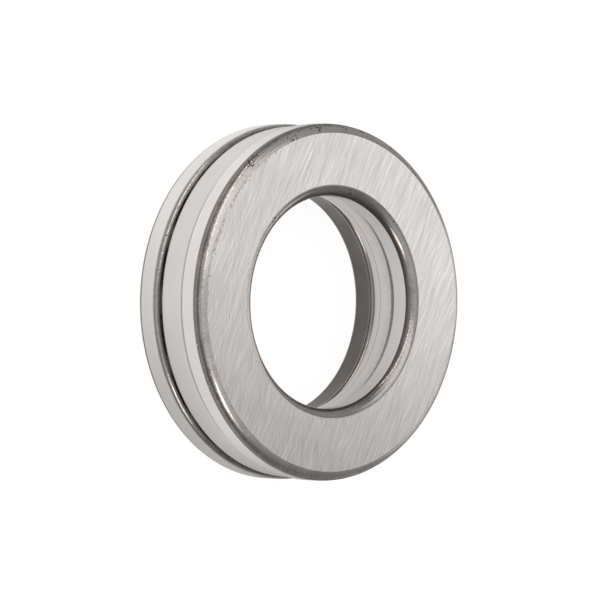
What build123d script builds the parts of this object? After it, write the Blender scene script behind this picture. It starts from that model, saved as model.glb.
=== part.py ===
from build123d import *
import math
import os

# Single-direction thrust ball bearing, lying on its housing washer with its axis upright.
# The frame's +Z is the bearing's axis, and the origin is the middle of the housing washer's seat.
# Lengths are in millimetres and angles in degrees.

# The section of the ring, from the bore outwards: its outside diameter comes to 42
bore_d = 25.0  # ground bore of the shaft washer
bore_side_w = 1.225  # from the bore to the nearest point of a ball
ball_d = 6.35
rim_side_w = 0.925  # from the farthest point of a ball to the housing washer's rim
overall_h = 11.0  # from seat face to seat face

# The ring of balls, and the grooves that they run in
ball_gap = 0.2  # least room from one ball to the next
running_clearance = 0.02  # from a ball to the floor of its groove
groove_ease = 0.254  # how much larger the groove's radius is than the ball's
groove_depth = 1.045  # below the washer's shoulder

# Washers: turned, hardened, then ground on the seat, the raceway and one cylinder
shaft_rim_step = 0.05  # how far the shaft washer's rim stands back from the housing washer's
housing_bore_step = 1.0  # how far the housing washer's bore stands back from the shaft's
rim_corner_sweep = 80.0  # a turned corner is an arc of this sweep, so it meets ground faces at an edge
bore_corner_sweep = 68.0
back_corner_sweep = 60.0  # the corners on the raceway side
shaft_rim_corner_w = 1.10  # a corner's width lies along the seat face
shaft_rim_corner_h = 1.22
shaft_bore_corner_w = 1.30
shaft_bore_corner_h = 0.91
housing_rim_corner = 0.80  # the housing washer's corners are as wide as they are high
housing_bore_corner = 0.50
shaft_back_bore_corner = 0.45  # the corners on the raceway side are as wide as they are high
shaft_back_rim_corner = 0.25
housing_back_corner = 0.55  # at its bore and its rim

# Cage: two pressed sheet channels that make a hollow box ring round the balls
sheet_t = 0.45
cage_low_gap = 0.45  # from the lower web to the housing washer's shoulder
cage_high_gap = 0.35  # from the upper web to the shaft washer's shoulder
cage_side_gap = 0.175  # from a ball to the flange beside it
pocket_clearance = 0.1  # from a ball to its coined pocket
bend_inner_r = 0.05
seam_drop = 0.41  # how far the seam in the bore lies below the middles of the balls
seam_gap = 0.04
rim_t = 0.22  # the outer flange is thinned above its ledge, then rolled inwards
rim_clearance = 0.01
edge_r = 0.10  # rounded edge of the web that the rim is rolled over
roll_angle = 60.0

bore_r = bore_d / 2
ball_r = ball_d / 2
pitch_r = bore_r + bore_side_w + ball_r
outer_r = pitch_r + ball_r + rim_side_w
ball_count = int(2 * math.pi * pitch_r / (ball_d + ball_gap))
middle_z = overall_h / 2
floor_z = middle_z - ball_r - running_clearance
washer_h = floor_z + groove_depth
ball_centres = PolarLocations(pitch_r, ball_count).locations


def corner(start, end, sweep):
    """A turned corner: a shallow arc that swells to the right of the way from start to end."""
    swell = math.dist(start, end) / 2 * math.tan(math.radians(sweep / 4))
    return SagittaArc(start, end, -swell)


def washer(inner_r, rim_r, bore_corner, rim_corner, back_bore_corner, back_rim_corner):
    """A washer on its seat face, with the raceway on top: one closed section, turned a full circle.
    A corner at the seat is a pair, its width along the seat and its height."""
    groove_r = ball_r + groove_ease
    groove_half_w = math.sqrt(groove_r**2 - (groove_r - groove_depth) ** 2)
    groove_in = (pitch_r - groove_half_w, washer_h)
    groove_out = (pitch_r + groove_half_w, washer_h)
    bore_low = (inner_r, bore_corner[1])
    seat_in = (inner_r + bore_corner[0], 0)
    seat_out = (rim_r - rim_corner[0], 0)
    rim_low = (rim_r, rim_corner[1])
    rim_high = (rim_r, washer_h - back_rim_corner)
    shoulder_out = (rim_r - back_rim_corner, washer_h)
    shoulder_in = (inner_r + back_bore_corner, washer_h)
    bore_high = (inner_r, washer_h - back_bore_corner)
    with BuildPart() as ring:
        with BuildSketch(Plane.XZ):
            with BuildLine():
                corner(bore_low, seat_in, bore_corner_sweep)
                Line(seat_in, seat_out)
                corner(seat_out, rim_low, rim_corner_sweep)
                Line(rim_low, rim_high)
                corner(rim_high, shoulder_out, back_corner_sweep)
                Line(shoulder_out, groove_out)
                ThreePointArc(groove_out, (pitch_r, floor_z), groove_in)
                Line(groove_in, shoulder_in)
                corner(shoulder_in, bore_high, back_corner_sweep)
                Line(bore_high, bore_low)
            make_face()
        revolve(axis=Axis.Z)
    return ring.part


def housing_washer():
    """The washer that sits in the housing: its rim is ground and its wider bore is left turned."""
    inner_r = bore_r + housing_bore_step
    bore_corner = (housing_bore_corner, housing_bore_corner)
    rim_corner = (housing_rim_corner, housing_rim_corner)
    return washer(inner_r, outer_r, bore_corner, rim_corner, housing_back_corner, housing_back_corner)


def shaft_washer():
    """The washer that sits on the shaft, upside down on top of the balls: its bore is ground."""
    bore_corner = (shaft_bore_corner_w, shaft_bore_corner_h)
    rim_corner = (shaft_rim_corner_w, shaft_rim_corner_h)
    rim_r = outer_r - shaft_rim_step
    ring = washer(bore_r, rim_r, bore_corner, rim_corner, shaft_back_bore_corner, shaft_back_rim_corner)
    return Pos(0, 0, overall_h) * mirror(ring, about=Plane.XY)


def with_pockets(shell):
    """Cuts a coined pocket, a piece of a sphere a little larger than the ball, at every ball."""
    pocket = Sphere(ball_r + pocket_clearance)
    for place in ball_centres:
        shell -= Pos(0, 0, middle_z) * place * pocket
    return shell


# Middle lines of the cage's sheet, as radii and heights
half_sheet = sheet_t / 2
bend_r = bend_inner_r + half_sheet
flange_in = pitch_r - ball_r - cage_side_gap - half_sheet
flange_out = pitch_r + ball_r + cage_side_gap + half_sheet
web_low = washer_h + cage_low_gap + half_sheet
web_high = overall_h - washer_h - cage_high_gap - half_sheet
seam_z = middle_z - seam_drop
ledge_z = web_high - half_sheet
cage_rim_r = flange_out + half_sheet
web_edge_r = cage_rim_r - rim_t - rim_clearance


def cage_upper_shell():
    """The shallow channel: a web and an inner flange, with the web's outer edge rounded."""
    foot = (flange_in, seam_z + seam_gap / 2)
    bend = (flange_in, web_high)
    edge = (web_edge_r, web_high)
    with BuildPart() as ring:
        with BuildSketch(Plane.XZ) as section:
            with BuildLine() as middle:
                FilletPolyline(foot, bend, edge, radius=bend_r)
            trace(middle.line, sheet_t)
            top_edge = section.vertices().group_by(Axis.X)[-1].sort_by(Axis.Y)[-1]
            fillet(top_edge, edge_r)
        revolve(axis=Axis.Z)
    return with_pockets(ring.part)


def cage_lower_shell():
    """The deep channel: its outer flange holds the other shell on a ledge, under a rolled rim."""
    foot = (flange_in, seam_z - seam_gap / 2)
    inner_bend = (flange_in, web_low)
    outer_bend = (flange_out, web_low)
    ledge = (flange_out, ledge_z)
    rim_middle_r = cage_rim_r - rim_t / 2
    roll_z = web_high + half_sheet - edge_r
    roll_r = edge_r + rim_clearance + rim_t / 2
    with BuildPart() as ring:
        with BuildSketch(Plane.XZ):
            with BuildLine() as middle:
                FilletPolyline(foot, inner_bend, outer_bend, ledge, radius=bend_r)
            trace(middle.line, sheet_t)
            with BuildLine() as rim:
                Line((rim_middle_r, ledge_z), (rim_middle_r, roll_z))
                CenterArc((rim_middle_r - roll_r, roll_z), roll_r, 0, roll_angle)
            trace(rim.line, rim_t)
        revolve(axis=Axis.Z)
    return with_pockets(ring.part)


def ball(place):
    """One ball, at its own place on the pitch circle."""
    return Pos(0, 0, middle_z) * place * Sphere(ball_r)


os.makedirs("parts", exist_ok=True)
export_step(housing_washer(), "parts/housing_washer.step")
export_step(shaft_washer(), "parts/shaft_washer.step")
export_step(cage_upper_shell(), "parts/cage_upper_shell.step")
export_step(cage_lower_shell(), "parts/cage_lower_shell.step")
for number, place in enumerate(ball_centres, start=1):
    export_step(ball(place), f"parts/ball_{number:02d}.step")
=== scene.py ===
import bmesh
import bpy
import numpy as np
from mathutils import Matrix


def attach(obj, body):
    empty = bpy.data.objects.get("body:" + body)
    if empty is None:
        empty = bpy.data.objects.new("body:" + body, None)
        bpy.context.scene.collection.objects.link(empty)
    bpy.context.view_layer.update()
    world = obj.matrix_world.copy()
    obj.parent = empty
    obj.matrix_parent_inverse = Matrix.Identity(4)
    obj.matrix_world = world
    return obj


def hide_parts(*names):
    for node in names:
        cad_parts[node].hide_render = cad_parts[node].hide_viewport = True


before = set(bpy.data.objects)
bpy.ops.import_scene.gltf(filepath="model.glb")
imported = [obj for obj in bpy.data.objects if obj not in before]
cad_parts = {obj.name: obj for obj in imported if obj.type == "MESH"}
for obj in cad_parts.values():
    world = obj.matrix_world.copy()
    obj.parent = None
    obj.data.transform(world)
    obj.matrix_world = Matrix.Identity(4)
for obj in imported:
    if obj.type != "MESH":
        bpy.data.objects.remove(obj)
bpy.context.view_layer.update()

# Housing washer: the ring that lies in the housing. It is turned from bearing steel and hardened,
# then ground bright on its seat, rim, shoulders and ball groove. Its rounded corners and its wide
# bore stay as turned, and dark from the hardening.


def linear(colour):
    """The linear light of an sRGB hex colour: a low value over 12.92, any other to the power 2.4."""
    share = np.array([int(colour[i : i + 2], 16) for i in (1, 3, 5)]) / 255
    light = np.where(share <= 0.04045, share / 12.92, ((share + 0.055) / 1.055) ** 2.4)
    return (*light.tolist(), 1.0)


def node(tree, kind, inputs=(), **settings):
    """Adds a node and returns its first live output. Its inputs are pairs: a socket, and the value or
    the other node's output that it takes."""
    made = tree.nodes.new("ShaderNode" + kind)
    for name, value in settings.items():
        setattr(made, name, value)
    for socket, value in inputs:
        if isinstance(value, bpy.types.NodeSocket):
            tree.links.new(value, made.inputs[socket])
        else:
            made.inputs[socket].default_value = value
    return next(output for output in made.outputs if output.enabled)


def bare_steel(name, roughness):
    """A new metal without its colour: its tree, its shader and its Object coordinates."""
    material = bpy.data.materials.new(name)
    material.use_nodes = True
    tree = material.node_tree
    shader = tree.nodes["Principled BSDF"]
    shader.inputs["Metallic"].default_value = 1.0
    shader.inputs["Roughness"].default_value = roughness
    return material, tree, shader, node(tree, "TexCoord").node.outputs["Object"]


def finish_steel(tree, shader, colour, height, strength, distance):
    """Gives a metal its colour, and a bump of so many metres from a height."""
    tree.links.new(colour, shader.inputs["Base Color"])
    bump = node(tree, "Bump", [("Strength", strength), ("Distance", distance), ("Height", height)])
    tree.links.new(bump, shader.inputs["Normal"])


def around(tree, place):
    """The radius of a point, and how far it lies from the plane through the balls, in metres."""
    flat = node(tree, "VectorMath", [(0, place), (1, (1.0, 1.0, 0.0))], operation="MULTIPLY")
    radius = node(tree, "VectorMath", [(0, flat)], operation="LENGTH")
    height = node(tree, "SeparateXYZ", [(0, place)]).node.outputs["Z"]
    height = node(tree, "Math", [(0, height), (1, 0.0055)], operation="SUBTRACT")
    return radius, node(tree, "Math", [(0, height)], operation="ABSOLUTE")


def marks(tree, place, heading, width, reach):
    """Grinding marks: noise stretched along a heading, in degrees from +X. The marks' width and reach
    are in mm: a point at u along and v across the heading reads the noise at u / reach, v / width."""
    turn = (0.0, 0.0, np.radians(-heading))
    scale = (1000 / reach, 1000 / width, 1.0)
    turned_place = node(tree, "Mapping", [("Vector", place), ("Rotation", turn)])
    read = node(tree, "VectorMath", [(0, turned_place), (1, scale)], operation="MULTIPLY")
    inputs = [("Vector", read), ("Scale", 1.0), ("Detail", 4.0), ("Roughness", 0.6), ("Distortion", 0.15)]
    return node(tree, "TexNoise", inputs, noise_dimensions="2D")


def ground_seat():
    """Surface-ground bearing steel: pale, with long fine marks of the wheel, steeper on one side, and
    faint bands, warm and cool. It mirrors in a streak across the marks. Skin of the hardening is left
    in flecks along its rim, mostly on one side. The real marks are 0.02 to 0.05 mm wide, and are
    drawn about 0.1 mm wide so that they show."""
    material, tree, shader, place = bare_steel("ground_seat", 0.30)
    slant = marks(tree, place, 64, 0.08, 5.0)
    steep = marks(tree, place, 84, 0.08, 5.0)
    crossed = marks(tree, place, 101, 0.08, 4.0)
    band = marks(tree, place, 70, 0.5, 9.0)
    tint = marks(tree, place, 76, 1.1, 7.0)
    cloud = node(tree, "TexNoise", [("Vector", place), ("Scale", 120.0), ("Detail", 2.0)])
    side = node(tree, "VectorMath", [(0, place), (1, (-90.0, -40.0, 0.0))], operation="DOT_PRODUCT")
    side = node(tree, "Math", [(0, side), (1, cloud)], operation="ADD")
    side = node(tree, "MapRange", [(0, side), (1, 0.4), (2, 1.4)], interpolation_type="SMOOTHSTEP")
    fine = node(tree, "Mix", [(0, side), (2, slant), (3, steep)])
    some = node(tree, "MapRange", [(0, cloud), (1, 0.46), (2, 0.60), (4, 0.5)])
    fine = node(tree, "Mix", [(0, some), (2, fine), (3, crossed)])
    tone = node(tree, "Mix", [(0, 0.25), (2, fine), (3, band)])
    tone = node(tree, "MapRange", [(0, tone), (1, 0.34), (2, 0.66)])
    tint = node(tree, "MapRange", [(0, tint), (1, 0.30), (2, 0.70)])
    low = node(tree, "Mix", [(0, tint), (6, linear("#BFB9B5")), (7, linear("#B9BCBB"))], data_type="RGBA")
    colour = node(tree, "Mix", [(0, tone), (6, low), (7, linear("#EAE7E4"))], data_type="RGBA")
    scratch = node(tree, "MapRange", [(0, marks(tree, place, 61, 0.11, 8.0)), (1, 0.57), (2, 0.65), (4, 0.8)])
    colour = node(tree, "Mix", [(0, scratch), (6, colour), (7, linear("#F6F4F1"))], data_type="RGBA")
    radius, _ = around(tree, place)
    fleck = node(tree, "TexNoise", [("Vector", place), ("Scale", 2400.0), ("Detail", 4.0)])
    window = node(tree, "VectorMath", [(0, place), (1, (-31.0, 17.0, 35.0))], operation="DOT_PRODUCT")
    fleck = node(tree, "Math", [(0, fleck), (1, window)], operation="ADD")
    reach = node(tree, "MapRange", [(0, radius), (1, 0.01880), (2, 0.01985), (3, 1.90), (4, 1.44)])
    fleck = node(tree, "Math", [(0, fleck), (1, reach)], operation="SUBTRACT")
    fleck = node(tree, "MapRange", [(0, fleck), (1, 0.0), (2, 0.2), (4, 0.7)])
    colour = node(tree, "Mix", [(0, fleck), (6, colour), (7, linear("#8E8883"))], data_type="RGBA")
    finish_steel(tree, shader, colour, fine, 0.35, 2.5e-6)
    heading = np.radians(75)
    inputs = [("Vector", (np.sin(heading), -np.cos(heading), 0.0))]
    across = node(tree, "VectorTransform", inputs, convert_from="OBJECT", convert_to="WORLD")
    tree.links.new(across, shader.inputs["Tangent"])
    shader.inputs["Anisotropic"].default_value = 0.7
    return material


def ground_land(name, low, high):
    """Cylindrically ground bearing steel: bright and smooth, with faint marks round the ring. The real
    marks are finer, and are drawn 0.1 mm wide so that they show."""
    material, tree, shader, place = bare_steel(name, 0.25)
    radius, height = around(tree, place)
    rings = node(tree, "Math", [(0, radius), (1, height)], operation="ADD")
    lines = node(tree, "TexNoise", [("W", rings), ("Scale", 9000.0), ("Detail", 2.0)], noise_dimensions="1D")
    cloud = node(tree, "TexNoise", [("Vector", place), ("Scale", 160.0), ("Detail", 2.0)])
    tone = node(tree, "Mix", [(0, 0.5), (2, lines), (3, cloud)])
    tone = node(tree, "MapRange", [(0, tone), (1, 0.30), (2, 0.70)])
    colour = node(tree, "Mix", [(0, tone), (6, linear(low)), (7, linear(high))], data_type="RGBA")
    finish_steel(tree, shader, colour, lines, 0.15, 2e-6)
    return material


def turned_corner(name, roughness, way, start, end, dark, light):
    """Turned steel under the brown-grey skin of the hardening, speckled 0.3 mm across. The skin is dark
    where the corner starts and wears to a lighter grey where it ends. Along the corner, the height
    from the balls' plane plus way times the radius goes from start to end, in mm."""
    material, tree, shader, place = bare_steel(name, roughness)
    radius, height = around(tree, place)
    along = node(tree, "Math", [(0, radius), (1, way), (2, height)], operation="MULTIPLY_ADD")
    along = node(tree, "MapRange", [(0, along), (1, start / 1000), (2, end / 1000)])
    lines = node(tree, "TexNoise", [("W", along), ("Scale", 9.0), ("Detail", 3.0)], noise_dimensions="1D")
    speckle = node(tree, "TexNoise", [("Vector", place), ("Scale", 3600.0), ("Detail", 3.0)])
    cloud = node(tree, "TexNoise", [("Vector", place), ("Scale", 500.0), ("Detail", 3.0)])
    mottle = node(tree, "Mix", [(0, 0.45), (2, speckle), (3, cloud)])
    mottle = node(tree, "Mix", [(0, 0.30), (2, mottle), (3, lines)])
    worn = node(tree, "Math", [(0, mottle), (1, along)], operation="ADD")
    worn = node(tree, "MapRange", [(0, worn), (1, 0.62), (2, 1.25)], interpolation_type="SMOOTHSTEP")
    skin = node(tree, "Mix", [(0, worn), (6, linear(dark)), (7, linear(light))], data_type="RGBA")
    shade = node(tree, "MapRange", [(0, mottle), (1, 0.32), (2, 0.68), (3, 0.75), (4, 1.25)])
    skin = node(tree, "VectorMath", [(0, skin), ("Scale", shade)], operation="SCALE")
    window = node(tree, "VectorMath", [(0, place), (1, (0.0, 9.5, 4.0))], operation="DOT_PRODUCT")
    scale = node(tree, "Math", [(0, speckle), (1, cloud)], operation="ADD")
    scale = node(tree, "Math", [(0, scale), (1, window)], operation="ADD")
    scale = node(tree, "MapRange", [(0, scale), (1, 1.34), (2, 1.46), (4, 0.9)])
    skin = node(tree, "Mix", [(0, scale), (6, skin), (7, linear("#3A3431"))], data_type="RGBA")
    spot = node(tree, "Math", [(0, speckle), (1, cloud)], operation="SUBTRACT")
    spot = node(tree, "MapRange", [(0, spot), (1, 0.29), (2, 0.35), (4, 0.7)])
    skin = node(tree, "Mix", [(0, spot), (6, skin), (7, linear("#D8D2CC"))], data_type="RGBA")
    finish_steel(tree, shader, skin, mottle, 0.35, 5e-6)
    return material


def turned_bore(name, roughness, low, high):
    """Turned and hardened steel that nothing has ground: dark grey, with tool marks round the bore, as
    wide as the feed of 0.15 mm."""
    material, tree, shader, place = bare_steel(name, roughness)
    _, height = around(tree, place)
    lines = node(tree, "TexNoise", [("W", height), ("Scale", 7000.0), ("Detail", 2.0)], noise_dimensions="1D")
    cloud = node(tree, "TexNoise", [("Vector", place), ("Scale", 300.0), ("Detail", 3.0)])
    tone = node(tree, "Mix", [(0, 0.5), (2, lines), (3, cloud)])
    tone = node(tree, "MapRange", [(0, tone), (1, 0.30), (2, 0.70)])
    colour = node(tree, "Mix", [(0, tone), (6, linear(low)), (7, linear(high))], data_type="RGBA")
    finish_steel(tree, shader, colour, lines, 0.3, 4e-6)
    return material


def turned(section, turns):
    """A section carried round the axis: radius r and height z go to (r cos t, r sin t, z)."""
    angle = np.linspace(0, 2 * np.pi, turns + 1)
    radius, height = section.T[:, :, None]
    return np.stack([radius * np.cos(angle), radius * np.sin(angle), height + 0 * angle], -1)


def line(start, end, steps=1):
    """A straight run of the section, as points from start to end."""
    share = np.linspace(0, 1, steps + 1)[:, None]
    return (1 - share) * np.array(start) + share * np.array(end)


def arc(start, end, sweep, steps=12):
    """A round run of the section from start to end. Along the chord it goes R sin a and across it
    R cos a, for a from minus to plus half the sweep, and it swells to the left of the
    way, or to the right where the sweep is negative."""
    start, end = np.array(start), np.array(end)
    half = np.radians(sweep) / 2
    angle = np.linspace(-half, half, steps + 1)[:, None]
    way = end - start
    left = np.array([-way[1], way[0]])
    along = 0.5 + np.sin(angle) / (2 * np.sin(half))
    across = (np.cos(angle) - np.cos(half)) / (2 * np.sin(half))
    return start + along * way + across * left


def steel_piece(name, patches, finishes):
    """One closed mesh from patches, which are (grid of points in mm, finish, group). A cell of a grid is
    a face, points nearer than 0.1 micrometre are one, and an edge between two groups is sharp."""
    points, faces, finish, group, first = [], [], [], [], 0
    for grid, its_finish, its_group in patches:
        number = first + np.arange(grid[..., 0].size).reshape(grid.shape[:2])
        cells = np.stack([number[:-1, :-1], number[1:, :-1], number[1:, 1:], number[:-1, 1:]], -1)
        points.append(grid.reshape(-1, 3))
        faces.append(cells.reshape(-1, 4))
        finish.append(np.full(cells[..., 0].size, its_finish))
        group.append(np.full(cells[..., 0].size, its_group))
        first += number.size
    points = np.concatenate(points)
    _, kept, same = np.unique(np.round(points, 4), axis=0, return_index=True, return_inverse=True)
    mesh = bpy.data.meshes.new(name)
    mesh.from_pydata(points[kept] / 1000, [], same.reshape(-1)[np.concatenate(faces)].tolist())
    shape = bmesh.new()
    shape.from_mesh(mesh)
    bmesh.ops.recalc_face_normals(shape, faces=shape.faces)
    shape.to_mesh(mesh)
    shape.free()
    edge = np.zeros(len(mesh.loops), int)
    mesh.loops.foreach_get("edge_index", edge)
    group = np.repeat(np.concatenate(group), 4)
    lowest = np.full(len(mesh.edges), group.max() + 1)
    highest = np.full(len(mesh.edges), -1)
    np.minimum.at(lowest, edge, group)
    np.maximum.at(highest, edge, group)
    mesh.attributes.new("sharp_edge", "BOOLEAN", "EDGE").data.foreach_set("value", lowest != highest)
    for material in finishes:
        mesh.materials.append(material)
    mesh.polygons.foreach_set("material_index", np.concatenate(finish))
    mesh.polygons.foreach_set("use_smooth", np.ones(len(mesh.polygons), bool))
    piece = bpy.data.objects.new(name, mesh)
    bpy.context.scene.collection.objects.link(piece)
    return piece


def groove_run(pitch, lip, top, floor):
    """The ball groove from its outer lip to its inner one: an arc that dips from the lips to the floor.
    It sweeps four times the angle whose tangent is its depth over half its width."""
    sweep = 4 * np.degrees(np.arctan2(top - floor, lip))
    return arc((pitch + lip, top), (pitch - lip, top), sweep, 24)


def washer_runs(bore, rim, seat_in, seat_out, bore_corner, rim_corner, back_bore, back_rim):
    """The runs of a washer's section on its seat, each with its finish: seat 0, land 1, rim corner 2,
    bore corner 3, bore 4, and 5 and 6 for the corners on the raceway side, at the bore and at the rim.
    The way round is bore, seat, rim, shoulder, groove, shoulder."""
    pitch, lip, top, floor = 16.9, 2.465, 3.35, 2.305
    return [
        (arc((bore, bore_corner), (seat_in, 0), -68), 3),
        (line((seat_in, 0), (seat_out, 0), 8), 0),
        (arc((seat_out, 0), (rim, rim_corner), -80), 2),
        (line((rim, rim_corner), (rim, top - back_rim), 4), 1),
        (arc((rim, top - back_rim), (rim - back_rim, top), -60, 8), 6),
        (line((rim - back_rim, top), (pitch + lip, top)), 1),
        (groove_run(pitch, lip, top, floor), 1),
        (line((pitch - lip, top), (bore + back_bore, top)), 1),
        (arc((bore + back_bore, top), (bore, top - back_bore), -60, 8), 5),
        (line((bore, top - back_bore), (bore, bore_corner), 4), 4),
    ]


seat = ground_seat()
bore_finish = turned_bore("turned_bore", 0.34, "#6B6763", "#837F7C")
# The back corners lie on the raceway side.
back_bore = turned_bore("turned_back_bore", 0.18, "#948D88", "#A8A29D")
land = ground_land("ground_land", "#D5D3CF", "#DFDDDA")
rim_corner = turned_corner("turned_rim_corner", 0.24, -1.0, -16.5, -14.7, "#7C7773", "#BEB9B5")
bore_corner = turned_corner("turned_bore_corner", 0.16, 1.0, 17.2, 19.0, "#7C7773", "#ABA6A2")
back_rim = turned_corner("turned_back_rim", 0.22, 1.0, 22.7, 23.3, "#7C7773", "#B2ADA9")
finishes = [seat, land, rim_corner, bore_corner, bore_finish, back_bore, back_rim]
washer_turns = 360
runs = washer_runs(13.5, 21.0, 14.0, 20.2, 0.5, 0.8, 0.55, 0.55)
patches = [(turned(run, washer_turns), finish, group) for group, (run, finish) in enumerate(runs)]
housing = steel_piece("ground_housing_washer", patches, finishes)
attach(housing, "housing")
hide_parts("housing_washer")

# Shaft washer: the ring that sits on the shaft, upside down on the balls. It is made as the other,
# but its narrower bore is ground and bright, and its rim stands back a little.

overall_height = 11.0
runs = washer_runs(12.5, 20.95, 13.80, 19.85, 0.91, 1.22, 0.45, 0.25)
runs = [(run * [1, -1] + [0, overall_height], finish) for run, finish in runs]
patches = [(turned(run, washer_turns), finish, group) for group, (run, finish) in enumerate(runs)]
# Painted shade: the bore has the lands' ground finish, in darker greys.
ground_bore_shaded = ground_land("ground_bore_shaded", "#C8C5C3", "#D2CFCD")
finishes = [seat, land, rim_corner, bore_corner, ground_bore_shaded, back_bore, back_rim]
shaft = steel_piece("ground_shaft_washer", patches, finishes)
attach(shaft, "shaft")
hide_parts("shaft_washer")

# Cage: two channels pressed from sheet steel that close round the balls. The deep one has the whole
# outer band and a rim rolled over the shallow one. Each ball looks out of round windows in the webs.


def pressed_band():
    """Pressed and tumbled sheet steel: smooth, light and satin. The real grain is finer, and is drawn
    0.2 mm across so that it shows."""
    material, tree, shader, place = bare_steel("pressed_band", 0.33)
    cloud = node(tree, "TexNoise", [("Vector", place), ("Scale", 130.0), ("Detail", 3.0)])
    grain = node(tree, "TexNoise", [("Vector", place), ("Scale", 5000.0), ("Detail", 2.0)])
    tone = node(tree, "Mix", [(0, 0.3), (2, cloud), (3, grain)])
    tone = node(tree, "MapRange", [(0, tone), (1, 0.30), (2, 0.70)])
    colour = node(tree, "Mix", [(0, tone), (6, linear("#CCCAC7")), (7, linear("#D6D4D1"))], data_type="RGBA")
    finish_steel(tree, shader, colour, grain, 0.1, 3e-6)
    return material


def pressed_mottled_shaded():
    """The drawn inner side of the sheet, which tumbling hardly reaches: mottled 0.25 mm across, with
    painted shade that darkens it towards the shaft washer, and a painted shadow in the bend under it."""
    material, tree, shader, place = bare_steel("pressed_mottled_shaded", 0.36)
    grain = node(tree, "TexNoise", [("Vector", place), ("Scale", 4200.0), ("Detail", 3.0)])
    cloud = node(tree, "TexNoise", [("Vector", place), ("Scale", 600.0), ("Detail", 2.0)])
    mottle = node(tree, "Mix", [(0, 0.3), (2, grain), (3, cloud)])
    height = node(tree, "SeparateXYZ", [(0, place)]).node.outputs["Z"]
    # Painted shade: the colour darkens with height, towards the shaft washer.
    shade_toward_washer = node(tree, "MapRange", [(0, height), (1, 0.0054), (2, 0.0069), (3, 1.25), (4, 0.85)])
    tone = node(tree, "Math", [(0, mottle), (1, shade_toward_washer)], operation="ADD")
    tone = node(tree, "MapRange", [(0, tone), (1, 0.6), (2, 1.6)])
    colour = node(tree, "Mix", [(0, tone), (6, linear("#77726F")), (7, linear("#DAD6D4"))], data_type="RGBA")
    # Painted shadow: a darker colour in the bend under the shaft washer.
    deep = node(tree, "MapRange", [(0, height), (1, 0.00702), (2, 0.00714)])
    colour = node(tree, "Mix", [(0, deep), (6, colour), (7, linear("#8A8581"))], data_type="RGBA")
    finish_steel(tree, shader, colour, grain, 0.4, 6e-6)
    return material


def bend(centre, radius, start, end, steps=8):
    """A bend of the sheet: the point at angle a is the centre plus the radius times (cos a, sin a)."""
    angle = np.radians(np.linspace(start, end, steps + 1))
    return np.array(centre) + radius * np.stack([np.cos(angle), np.sin(angle)], 1)


def windows(outside, inside, outer_face, inner_face, turns):
    """A web with a round window at every ball. Its sixteenth runs from the edge round one ball, a box
    in radius and angle, straight in to the window, and through it on the pocket's sphere: at a
    height h from the balls' middles the window's radius is the root of the pocket's squared less h
    squared. The two faces are given as heights, and their edges as pairs of radii."""
    pitch, pocket, middle, rows = 16.9, 3.275, 5.5, 8
    half = np.pi / 16
    swing = np.linspace(-half, half, turns // 16 + 1)
    grids, rims = [], []
    for (low, high), height in ((outside, outer_face), (inside, inner_face)):
        side = np.linspace(low, high, rows + 1)
        inner, outer = np.full(swing.size, low), np.full(swing.size, high)
        radius = np.concatenate([inner, side[1:-1], outer, side[::-1][1:]])
        angle = np.concatenate([swing, np.full(rows - 1, half), swing[::-1], np.full(rows, -half)])
        edge = np.stack([radius * np.cos(angle), radius * np.sin(angle)], -1)
        way = edge - [pitch, 0]
        way /= np.linalg.norm(way, axis=1)[:, None]
        rims.append(way * np.sqrt(pocket**2 - (height - middle) ** 2))
        share = np.linspace(0, 1, 4)[:, None, None]
        flat = (1 - share) * edge + share * ([pitch, 0] + rims[-1])
        grids.append(np.concatenate([flat, np.full(flat[..., :1].shape, height)], -1))
    share = np.linspace(0, 1, 5)[:, None, None]
    height = (1 - share) * outer_face + share * inner_face
    wall = (1 - share) * rims[0] + share * rims[1]
    wall *= np.sqrt(pocket**2 - (height - middle) ** 2) / np.linalg.norm(wall, axis=-1, keepdims=True)
    grids.append(np.concatenate([[pitch, 0] + wall, height + 0 * wall[..., :1]], -1))
    angle = np.arange(16) * np.pi / 8
    spin = np.array([[np.cos(angle), np.sin(angle)], [-np.sin(angle), np.cos(angle)]])
    turned_grids = []
    first_group = 90  # past the groups of the turned runs
    for group, grid in enumerate(grids, first_group):
        for k in range(16):
            flat = grid[..., :2] @ spin[:, :, k]
            turned_grids.append((np.concatenate([flat, grid[..., 2:]], -1), 0, group))
    return turned_grids


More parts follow.
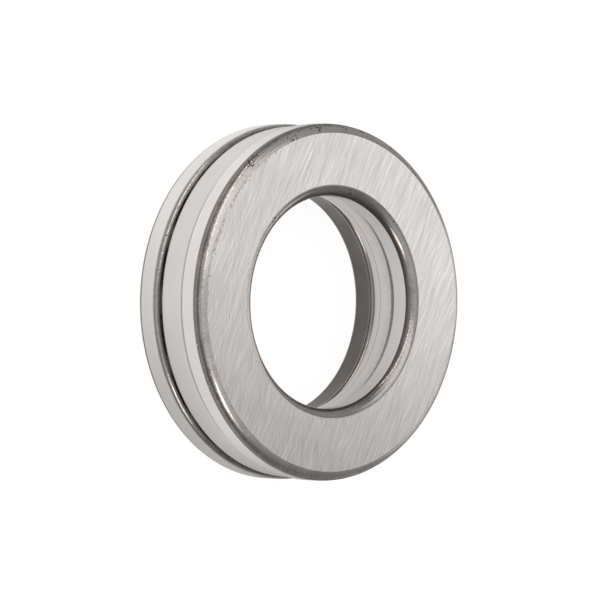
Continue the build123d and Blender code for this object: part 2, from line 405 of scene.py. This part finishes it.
# The sections below are (run of points, finish, group): finish 0 is the band's, and 1 is mottled, with
# painted shade.
band, mottled = pressed_band(), pressed_mottled_shaded()
sheet, bend_in, bend_out = 0.45, 0.05, 0.5
bore_face, band_face = 13.1, 20.7
low_face, high_face = 3.8, 7.3
seam_low, seam_high = 5.07, 5.11
in_centre, out_centre = bore_face + bend_out, band_face - bend_out
low_centre, high_centre = low_face + bend_out, high_face - bend_out
ledge = high_face - sheet
rim_face = 20.48
roll_centre = (20.37, 7.2)
roll_out = bend(roll_centre, band_face - roll_centre[0], 0, 60)
roll_in = bend(roll_centre, rim_face - roll_centre[0], 60, 0)
cage_turns = 384
deep_runs = [
    (line((bore_face, seam_low), (bore_face, low_centre), 2), 1, 0),
    (bend((in_centre, low_centre), bend_out, 180, 270), 0, 0),
    (bend((out_centre, low_centre), bend_out, 270, 360), 0, 0),
    (line((band_face, low_centre), roll_out[0], 6), 0, 0),
    (roll_out, 0, 0),
    (line(roll_out[-1], roll_in[0]), 0, 1),
    (roll_in, 0, 2),
    (line(roll_in[-1], (rim_face, ledge)), 0, 2),
    (line((rim_face, ledge), (band_face - sheet, ledge)), 0, 3),
    (line((band_face - sheet, ledge), (band_face - sheet, low_centre), 2), 0, 4),
    (bend((out_centre, low_centre), bend_in, 360, 270, 3), 0, 4),
    (bend((in_centre, low_centre), bend_in, 270, 180, 3), 0, 4),
    (line((bore_face + sheet, low_centre), (bore_face + sheet, seam_low), 2), 0, 4),
    (line((bore_face + sheet, seam_low), (bore_face, seam_low)), 0, 5),
]
patches = [(turned(run, cage_turns), finish, group) for run, finish, group in deep_runs]
edges = (in_centre, out_centre)
patches += windows(edges, edges, low_face, low_face + sheet, cage_turns)
lower = steel_piece("pressed_cage_deep", patches, [band, mottled])
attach(lower, "cage")
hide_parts("cage_lower_shell")

edge_round = bend(roll_centre, 0.1, 90, 0)
shallow_runs = [
    (line((bore_face, seam_high), (bore_face, high_centre), 4), 1, 0),
    (bend((in_centre, high_centre), bend_out, 180, 90), 1, 0),
    (edge_round, 0, 0),
    (line(edge_round[-1], (edge_round[-1][0], ledge)), 0, 0),
    (bend((in_centre, high_centre), bend_in, 90, 180, 3), 0, 2),
    (line((bore_face + sheet, high_centre), (bore_face + sheet, seam_high), 2), 0, 2),
    (line((bore_face + sheet, seam_high), (bore_face, seam_high)), 0, 3),
]
patches = [(turned(run, cage_turns), finish, group) for run, finish, group in shallow_runs]
outside, inside = (in_centre, roll_centre[0]), (in_centre, edge_round[-1][0])
patches += windows(outside, inside, high_face, ledge, cage_turns)
upper = steel_piece("pressed_cage_shallow", patches, [band, mottled])
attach(upper, "cage")
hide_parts("cage_upper_shell")

# Balls: sixteen 6.35 mm balls of through-hardened steel, lapped to a mirror. They lie in the pockets
# of the cage, between the two grooves, and hardly show in the assembled bearing.


def lapped_steel():
    """Lapped ball steel: a bright mirror, with only the faintest clouding."""
    material, tree, shader, place = bare_steel("lapped_steel", 0.06)
    cloud = node(tree, "TexNoise", [("Vector", place), ("Scale", 700.0), ("Detail", 2.0)])
    tone = node(tree, "MapRange", [(0, cloud), (1, 0.35), (2, 0.65)])
    colour = node(tree, "Mix", [(0, tone), (6, linear("#D9D9D8")), (7, linear("#E3E3E2"))], data_type="RGBA")
    tree.links.new(colour, shader.inputs["Base Color"])
    rough = node(tree, "MapRange", [(0, cloud), (3, 0.04), (4, 0.09)])
    tree.links.new(rough, shader.inputs["Roughness"])
    return material


def ball_grids(centre, radius):
    """A ball from the six sides of a box, each a grid of (1, tan u, tan v) drawn in to the sphere."""
    slope = np.tan(np.linspace(-np.pi / 4, np.pi / 4, 15))
    one, two = np.meshgrid(slope, slope, indexing="ij")
    side = np.stack([np.ones_like(one), one, two], -1)
    side *= radius / np.linalg.norm(side, axis=-1)[..., None]
    return [(centre + sign * np.roll(side, k, -1), 0, 0) for k in range(3) for sign in (1, -1)]


lapped = lapped_steel()
pitch, ball_radius = 16.9, 3.175
for number in range(16):
    turn = number * np.pi / 8
    centre = np.array([pitch * np.cos(turn), pitch * np.sin(turn), overall_height / 2])
    ball = steel_piece(f"lapped_ball_{number + 1:02d}", ball_grids(centre, ball_radius), [lapped])
    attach(ball, f"ball_{number + 1:02d}")
    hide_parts(f"ball_{number + 1:02d}")

# Floor: a white sweep of card. It shows white to the camera and keeps a faint shadow. The steel sees it
# by a glow with painted shade: white on the left, and darker on the right, below and by the ring, where less
# light falls.


def white_card():
    """Matt white card that shows almost white in itself, so that only a faint shadow is left on it. The glow
    that the steel sees in it carries painted shade.
    """
    material = bpy.data.materials.new("white_card")
    material.use_nodes = True
    tree = material.node_tree
    tree.nodes.remove(tree.nodes["Principled BSDF"])
    place = node(tree, "TexCoord").node.outputs["Object"]
    across = node(tree, "SeparateXYZ", [(0, place)])
    along = across.node.outputs["Y"]
    reach = node(tree, "VectorMath", [(0, place)], operation="LENGTH")
    # Painted shade in the glow that the steel sees: darker towards +X and towards -Y.
    away = node(tree, "Math", [(0, reach), (1, 0.5), (2, across)], operation="MULTIPLY_ADD")
    inputs = [(0, away), (1, -0.002), (2, 0.034), (3, 0.95), (4, 0.33)]
    left = node(tree, "MapRange", inputs, interpolation_type="SMOOTHSTEP")
    high = node(tree, "MapRange", [(0, along), (1, -0.010), (2, 0.025), (3, 0.90), (4, 1.05)])
    left = node(tree, "Math", [(0, left), (1, high)], operation="MULTIPLY")
    # Painted contact shade in that glow: darker close outside the ring, most towards -Y.
    near = node(tree, "MapRange", [(0, reach), (1, 0.022), (2, 0.028), (3, 0.4), (4, 0.0)])
    outside = node(tree, "MapRange", [(0, reach), (1, 0.013), (2, 0.016)])
    near = node(tree, "Math", [(0, near), (1, outside)], operation="MULTIPLY")
    low = node(tree, "MapRange", [(0, along), (1, -0.018), (2, 0.012), (3, 1.0), (4, 0.0)])
    shade = node(tree, "Math", [(0, near), (1, low)], operation="MULTIPLY")
    open_share = node(tree, "Math", [(0, 1.0), (1, shade)], operation="SUBTRACT")
    mirrored = node(tree, "Math", [(0, left), (1, open_share)], operation="MULTIPLY")
    path = node(tree, "LightPath").node.outputs
    seen = node(tree, "Math", [(0, path["Is Camera Ray"]), (1, path["Is Glossy Ray"])], operation="MAXIMUM")
    glow = node(tree, "Mix", [(0, path["Is Glossy Ray"]), (2, 0.93), (3, mirrored)])
    matt = node(tree, "BsdfDiffuse", [("Color", linear("#E8E8E8"))])
    faint = node(tree, "BsdfDiffuse", [("Color", linear("#686868"))])
    lit = node(tree, "AddShader", [(0, faint), (1, node(tree, "Emission", [("Strength", glow)]))])
    mixed = node(tree, "MixShader", [(0, seen), (1, matt), (2, lit)])
    tree.links.new(mixed, tree.nodes["Material Output"].inputs["Surface"])
    return material


floor_mesh = bpy.data.meshes.new("card_sweep")
floor_mesh.from_pydata([(-2, -2, 0), (2, -2, 0), (2, 2, 0), (-2, 2, 0)], [], [(0, 1, 2, 3)])
floor_mesh.materials.append(white_card())
floor = bpy.data.objects.new("card_sweep", floor_mesh)
bpy.context.scene.collection.objects.link(floor)

# Camera: it looks down on the bearing at 47 degrees, turned so that the seat faces right.

tilt, roll = np.radians(42.643), np.radians(0.877)
level_right = np.array([np.cos(tilt), 0, np.sin(tilt)])
back = np.array([-np.sin(tilt), 0, np.cos(tilt)])
right = np.cos(roll) * level_right + np.sin(roll) * np.array([0, 1, 0])
up = np.cross(back, right)
place = np.array([0, 0, 0.011]) - 0.003997 * right + 0.000271 * up + 0.5695 * back
camera = bpy.data.objects.new("camera", bpy.data.cameras.new("camera"))
camera.data.lens = 291.8
camera.data.sensor_width = 36.0
camera.data.clip_start = 0.01
camera.data.clip_end = 20.0
camera.matrix_world = Matrix((right, up, back)).transposed().to_4x4()
camera.location = place
bpy.context.scene.collection.objects.link(camera)
bpy.context.scene.camera = camera

# Light: soft boxes to the right of the camera, over it and under it, a tall thin one beside it that
# draws a bright line along the turned corners, and a grey room with a pale ceiling.


def softbox(name, across, over, distance, width, height, radiance, warmth="#FFFFFF"):
    """A soft box that faces the bearing, so many degrees across to the right of the camera and over it.
    Its power is its radiance times its area times pi."""
    side, rise = np.radians(across), np.radians(over)
    level = np.sin(side) * level_right + np.cos(side) * back
    sideways = np.cross([0, 1, 0], level)
    way = np.cos(rise) * level + np.sin(rise) * np.array([0, 1, 0])
    lamp = bpy.data.lights.new(name, "AREA")
    lamp.shape = "RECTANGLE"
    lamp.size, lamp.size_y = width, height
    lamp.energy = radiance * width * height * np.pi
    lamp.color = linear(warmth)[:3]
    box = bpy.data.objects.new(name, lamp)
    box.matrix_world = Matrix((sideways, np.cross(way, sideways), way)).transposed().to_4x4()
    box.location = np.array([0, 0, 0.0055]) + distance * way
    box.visible_camera = False
    bpy.context.scene.collection.objects.link(box)


softbox("box_right", 104, 3, 0.28, 0.26, 0.07, 0.86)
softbox("box_rim", 117, -14, 0.60, 0.25, 0.20, 0.65)
softbox("box_soft", 46, 22, 0.60, 0.60, 0.30, 0.65)
softbox("box_over", 28, 48, 0.60, 0.40, 0.24, 0.6, "#FFF6F2")
softbox("box_strip", 11, 42, 0.60, 0.025, 0.80, 5.8, "#FFF6F3")
softbox("box_under", 17, -43, 0.60, 0.16, 0.22, 3.0, "#FFF6F2")

world = bpy.data.worlds.new("pale_room")
world.use_nodes = True
bpy.context.scene.world = world
tree = world.node_tree
ray = node(tree, "TexCoord")
ceiling = node(tree, "VectorMath", [(0, ray), (1, (-0.35, 0.0, 0.94))], operation="DOT_PRODUCT")
ceiling = node(tree, "MapRange", [(0, ceiling), (1, 0.5), (2, 0.85)], interpolation_type="SMOOTHSTEP")
lift = node(tree, "SeparateXYZ", [(0, ray)]).node.outputs["Y"]
wall = node(tree, "MapRange", [(0, lift), (1, -1.0), (2, 1.0)])
wall = node(tree, "Mix", [(0, wall), (6, linear("#7F7F7F")), (7, linear("#BCBCBC"))], data_type="RGBA")
room = node(tree, "Mix", [(0, ceiling), (6, wall), (7, linear("#DFDFDF"))], data_type="RGBA")
seen = node(tree, "LightPath").node.outputs["Is Camera Ray"]
shown = node(tree, "Mix", [(0, seen), (6, room), (7, (1.0, 1.0, 1.0, 1.0))], data_type="RGBA")
tree.links.new(shown, tree.nodes["Background"].inputs["Color"])

bpy.context.scene.view_settings.view_transform = "Standard"
